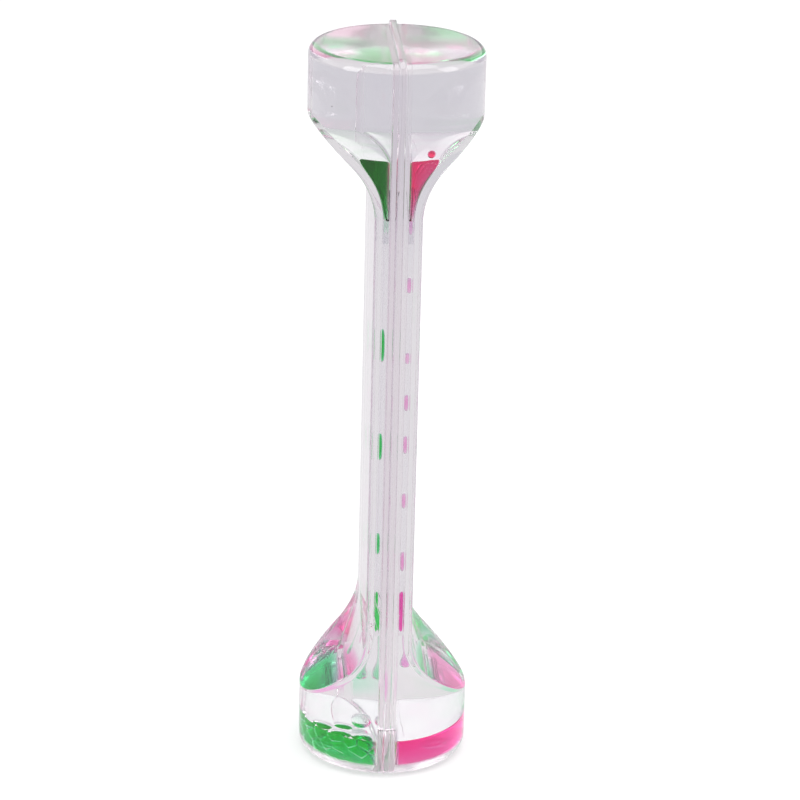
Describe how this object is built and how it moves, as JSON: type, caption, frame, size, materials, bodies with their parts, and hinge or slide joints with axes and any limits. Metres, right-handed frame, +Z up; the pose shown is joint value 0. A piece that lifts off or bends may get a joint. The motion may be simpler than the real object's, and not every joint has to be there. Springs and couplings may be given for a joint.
{
  "type": "liquid motion timer",
  "caption": "Clear waisted upright timer in two halves round a flat divider, with green and pink drops falling through thin lanes in clear liquid.",
  "frame": {"origin": "middle of the base, where the centre plate meets the surface it stands on", "axes": "+Z up along the timer, +X square to the divider towards the pink half, -Y towards the viewer of the picture"},
  "size_m": [0.045, 0.047, 0.196],
  "materials": {
    "clear_plastic": "polished",
    "clear_insert": "polished",
    "clear_liquid": "polished",
    "green_dye": "gloss",
    "pink_dye": "gloss"
  },
  "bodies": {
    "housing": {"centre_plate": "clear_plastic", "green_base_pool": "green_dye", "green_funnel_pool": "green_dye", "green_lower_thread": "green_dye", "green_upper_thread": "green_dye", "left_clear_liquid_base": "clear_liquid", "left_clear_liquid_stem": "clear_liquid", "left_clear_liquid_top": "clear_liquid", "left_cover_plate": "clear_plastic", "left_fill_plug": "clear_insert", "left_lower_nozzle": "clear_insert", "left_shell": "clear_plastic", "left_upper_nozzle": "clear_insert", "pink_base_pool": "pink_dye", "pink_funnel_pool": "pink_dye", "pink_lower_thread": "pink_dye", "pink_upper_thread": "pink_dye", "right_clear_liquid_base": "clear_liquid", "right_clear_liquid_stem": "clear_liquid", "right_clear_liquid_top": "clear_liquid", "right_cover_plate": "clear_plastic", "right_fill_plug": "clear_insert", "right_lower_nozzle": "clear_insert", "right_shell": "clear_plastic", "right_upper_nozzle": "clear_insert"},
    "green_lane_drop_1": {"green_lane_drop_1": "green_dye"},
    "green_lane_drop_2": {"green_lane_drop_2": "green_dye"},
    "green_lane_drop_3": {"green_lane_drop_3": "green_dye"},
    "pink_lane_drop_1": {"pink_lane_drop_1": "pink_dye"},
    "pink_lane_drop_2": {"pink_lane_drop_2": "pink_dye"},
    "pink_lane_drop_3": {"pink_lane_drop_3": "pink_dye"},
    "pink_lane_drop_4": {"pink_lane_drop_4": "pink_dye"},
    "pink_lane_drop_5": {"pink_lane_drop_5": "pink_dye"},
    "pink_lane_drop_6": {"pink_lane_drop_6": "pink_dye"},
    "green_hanging_drop": {"green_hanging_drop": "green_dye"},
    "pink_hanging_drop": {"pink_hanging_drop": "pink_dye"},
    "green_landed_drop": {"green_landed_drop": "green_dye"},
    "pink_bead": {"pink_bead": "pink_dye"}
  },
  "joints": [
    {"name": "green_lane_drop_1_fall", "type": "slide", "parent": "housing", "child": "green_lane_drop_1", "axis": [0, 0, -1], "range_m": [-0.0255, 0.0104]},
    {"name": "green_lane_drop_2_fall", "type": "slide", "parent": "housing", "child": "green_lane_drop_2", "axis": [0, 0, -1], "range_m": [-0.0255, 0.0104]},
    {"name": "green_lane_drop_3_fall", "type": "slide", "parent": "housing", "child": "green_lane_drop_3", "axis": [0, 0, -1], "range_m": [-0.0255, 0.0104]},
    {"name": "pink_lane_drop_1_fall", "type": "slide", "parent": "housing", "child": "pink_lane_drop_1", "axis": [0, 0, -1], "range_m": [-0.0116, 0.0055]},
    {"name": "pink_lane_drop_2_fall", "type": "slide", "parent": "housing", "child": "pink_lane_drop_2", "axis": [0, 0, -1], "range_m": [-0.0116, 0.0055]},
    {"name": "pink_lane_drop_3_fall", "type": "slide", "parent": "housing", "child": "pink_lane_drop_3", "axis": [0, 0, -1], "range_m": [-0.0116, 0.0055]},
    {"name": "pink_lane_drop_4_fall", "type": "slide", "parent": "housing", "child": "pink_lane_drop_4", "axis": [0, 0, -1], "range_m": [-0.0116, 0.0055]},
    {"name": "pink_lane_drop_5_fall", "type": "slide", "parent": "housing", "child": "pink_lane_drop_5", "axis": [0, 0, -1], "range_m": [-0.0116, 0.0055]},
    {"name": "pink_lane_drop_6_fall", "type": "slide", "parent": "housing", "child": "pink_lane_drop_6", "axis": [0, 0, -1], "range_m": [-0.0116, 0.0055]},
    {"name": "green_hanging_drop_fall", "type": "slide", "parent": "housing", "child": "green_hanging_drop", "axis": [0, 0, -1], "range_m": [0, 0.0118]},
    {"name": "pink_hanging_drop_fall", "type": "slide", "parent": "housing", "child": "pink_hanging_drop", "axis": [0, 0, -1], "range_m": [0, 0.0154]},
    {"name": "green_landed_drop_fall", "type": "slide", "parent": "housing", "child": "green_landed_drop", "axis": [0, 0, -1], "range_m": [-0.013, 0]},
    {"name": "pink_bead_fall", "type": "slide", "parent": "housing", "child": "pink_bead", "axis": [0, 0, -1], "range_m": [-0.012, 0]}
  ],
  "couplings": [
    {"joint": "green_lane_drop_2_fall", "follows": "green_lane_drop_1_fall", "ratio": 1},
    {"joint": "green_lane_drop_3_fall", "follows": "green_lane_drop_1_fall", "ratio": 1},
    {"joint": "pink_lane_drop_1_fall", "follows": "pink_lane_drop_6_fall", "ratio": 1},
    {"joint": "pink_lane_drop_2_fall", "follows": "pink_lane_drop_6_fall", "ratio": 1},
    {"joint": "pink_lane_drop_3_fall", "follows": "pink_lane_drop_6_fall", "ratio": 1},
    {"joint": "pink_lane_drop_4_fall", "follows": "pink_lane_drop_6_fall", "ratio": 1},
    {"joint": "pink_lane_drop_5_fall", "follows": "pink_lane_drop_6_fall", "ratio": 1}
  ]
}
